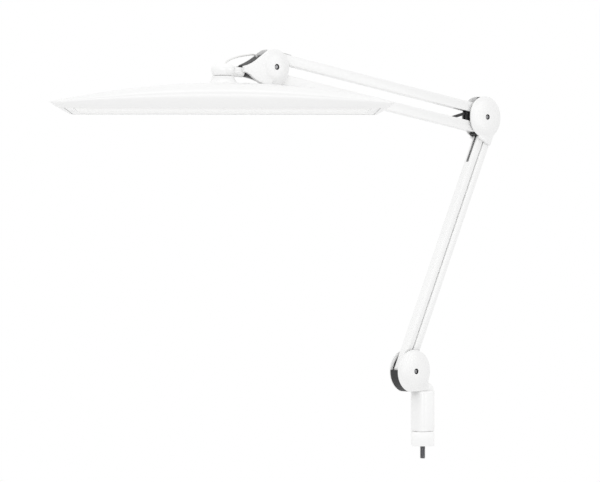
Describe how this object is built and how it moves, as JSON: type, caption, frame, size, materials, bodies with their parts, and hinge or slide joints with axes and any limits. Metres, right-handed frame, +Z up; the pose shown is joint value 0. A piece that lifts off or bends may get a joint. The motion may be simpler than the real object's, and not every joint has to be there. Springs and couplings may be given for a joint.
{
  "type": "swing arm desk lamp",
  "caption": "Desk lamp with a wide arched LED head on two parallelogram arms, swivelling on a column over a threaded stud.",
  "frame": {"origin": "on the stud's axis, at the underside of the mounting block", "axes": "+Z up along the swivel column; the arms lie in the XZ plane, leaning towards +X and then reaching back towards -X; +Y is the far side in the usual view"},
  "size_m": [0.9217, 0.5028, 0.7166],
  "materials": {
    "white_paint": "satin white powder coat on steel",
    "white_casting": "satin white powder coat on aluminium",
    "white_plastic": "satin white plastic",
    "black_plastic": "matte black",
    "steel": "plated steel",
    "aluminium": "plain sheet",
    "opal_plastic": "opal white",
    "board": "white solder mask",
    "cable": "pale grey sheath"
  },
  "bodies": {
    "bracket": {"mount_block": "white_casting", "mounting_stud": "steel", "swivel_bush": "white_plastic", "grub_screw": "steel"},
    "column": {"swivel_column": "white_casting", "swivel_post": "steel", "base_core": "black_plastic", "base_cover_front": "white_plastic", "base_cover_rear": "white_plastic", "base_bolt": "steel", "base_nut": "steel", "base_neck_screw": "steel", "base_pin_left": "steel", "base_pin_right": "steel"},
    "lower_bar_left_body": {"lower_bar_left": "white_paint", "lower_spring_tie": "black_plastic", "lower_spring": "steel"},
    "lower_bar_right_body": {"lower_bar_right": "white_paint", "cable_grommet": "white_plastic"},
    "elbow": {"elbow_core": "black_plastic", "elbow_cover_front": "white_plastic", "elbow_cover_rear": "white_plastic", "elbow_bolt": "steel", "elbow_nut": "steel", "elbow_pin_left": "steel", "elbow_pin_right": "steel", "elbow_pin_top": "steel", "elbow_pin_bottom": "steel", "tie_pin": "steel"},
    "upper_bar_top_body": {"upper_bar_top": "white_paint", "upper_bar_end_cap": "white_plastic"},
    "upper_bar_bottom_body": {"upper_bar_bottom": "white_paint", "upper_spring": "steel"},
    "upper_tie_body": {"upper_spring_tie": "black_plastic"},
    "head_link": {"head_link_core": "black_plastic", "head_pin_top": "steel", "head_pin_bottom": "steel"},
    "tilt_neck": {"neck_core": "black_plastic", "tilt_cover_front": "white_plastic", "tilt_cover_rear": "white_plastic", "tilt_bolt": "steel", "tilt_nut": "steel", "roll_pin": "steel"},
    "cap": {"swivel_cap": "white_casting", "swivel_bolt": "steel", "swivel_washer": "steel", "jumper_cable": "cable"},
    "head": {"head_shell": "white_casting", "head_boss": "white_plastic", "head_bezel": "white_plastic", "diffuser": "opal_plastic", "led_tray": "aluminium", "led_board_front": "board", "led_board_rear": "board", "led_driver": "board", "tray_screw_1": "steel", "tray_screw_2": "steel", "tray_screw_3": "steel", "tray_screw_4": "steel"},
    "button": {"power_button": "white_plastic"}
  },
  "joints": [
    {"name": "base_swivel", "type": "hinge", "parent": "bracket", "child": "column", "pos_m": [0, 0, 0.0274], "axis": [0, 0, 1], "range_deg": [-170, 170]},
    {"name": "lower_arm", "type": "hinge", "parent": "column", "child": "lower_bar_left_body", "pos_m": [-0.0561, 0, 0.1389], "axis": [0, 1, 0], "range_deg": [-80, 3]},
    {"name": "lower_parallel", "type": "hinge", "parent": "column", "child": "lower_bar_right_body", "pos_m": [-0.02743, 0, 0.15897], "axis": [0, 1, 0], "range_deg": [-80, 3]},
    {"name": "elbow_level", "type": "hinge", "parent": "lower_bar_left_body", "child": "elbow", "pos_m": [0.14625, 0, 0.57085], "axis": [0, 1, 0], "range_deg": [-3, 80]},
    {"name": "upper_arm", "type": "hinge", "parent": "elbow", "child": "upper_bar_top_body", "pos_m": [0.12798, 0, 0.61201], "axis": [0, 1, 0], "range_deg": [-36, 20]},
    {"name": "upper_parallel", "type": "hinge", "parent": "elbow", "child": "upper_bar_bottom_body", "pos_m": [0.12798, 0, 0.57701], "axis": [0, 1, 0], "range_deg": [-36, 20]},
    {"name": "spring_tie", "type": "hinge", "parent": "elbow", "child": "upper_tie_body", "pos_m": [0.11108, 0, 0.60321], "axis": [0, 1, 0], "range_deg": [-49, 28]},
    {"name": "head_level", "type": "hinge", "parent": "upper_bar_top_body", "child": "head_link", "pos_m": [-0.33518, 0, 0.67909], "axis": [0, 1, 0], "range_deg": [-20, 36]},
    {"name": "head_tilt", "type": "hinge", "parent": "head_link", "child": "tilt_neck", "pos_m": [-0.35348, 0, 0.66259], "axis": [0, 1, 0], "range_deg": [-12, 50]},
    {"name": "head_roll", "type": "hinge", "parent": "tilt_neck", "child": "cap", "pos_m": [-0.41578, 0, 0.65129], "axis": [1, 0, 0], "range_deg": [-12, 12], "deforming": ["jumper_cable"]},
    {"name": "head_swivel", "type": "hinge", "parent": "cap", "child": "head", "pos_m": [-0.45568, 0, 0.64359], "axis": [0, 0, 1], "range_deg": [-165, 165]},
    {"name": "power_press", "type": "slide", "parent": "head", "child": "button", "axis": [0, 0, 1], "range_m": [0, 0.0008], "stiffness_N_per_m": 800}
  ],
  "couplings": [
    {"joint": "lower_parallel", "follows": "lower_arm", "ratio": 1},
    {"joint": "elbow_level", "follows": "lower_arm", "ratio": -1},
    {"joint": "upper_parallel", "follows": "upper_arm", "ratio": 1},
    {"joint": "spring_tie", "follows": "upper_arm", "ratio": 1.33},
    {"joint": "head_level", "follows": "upper_arm", "ratio": -1}
  ]
}
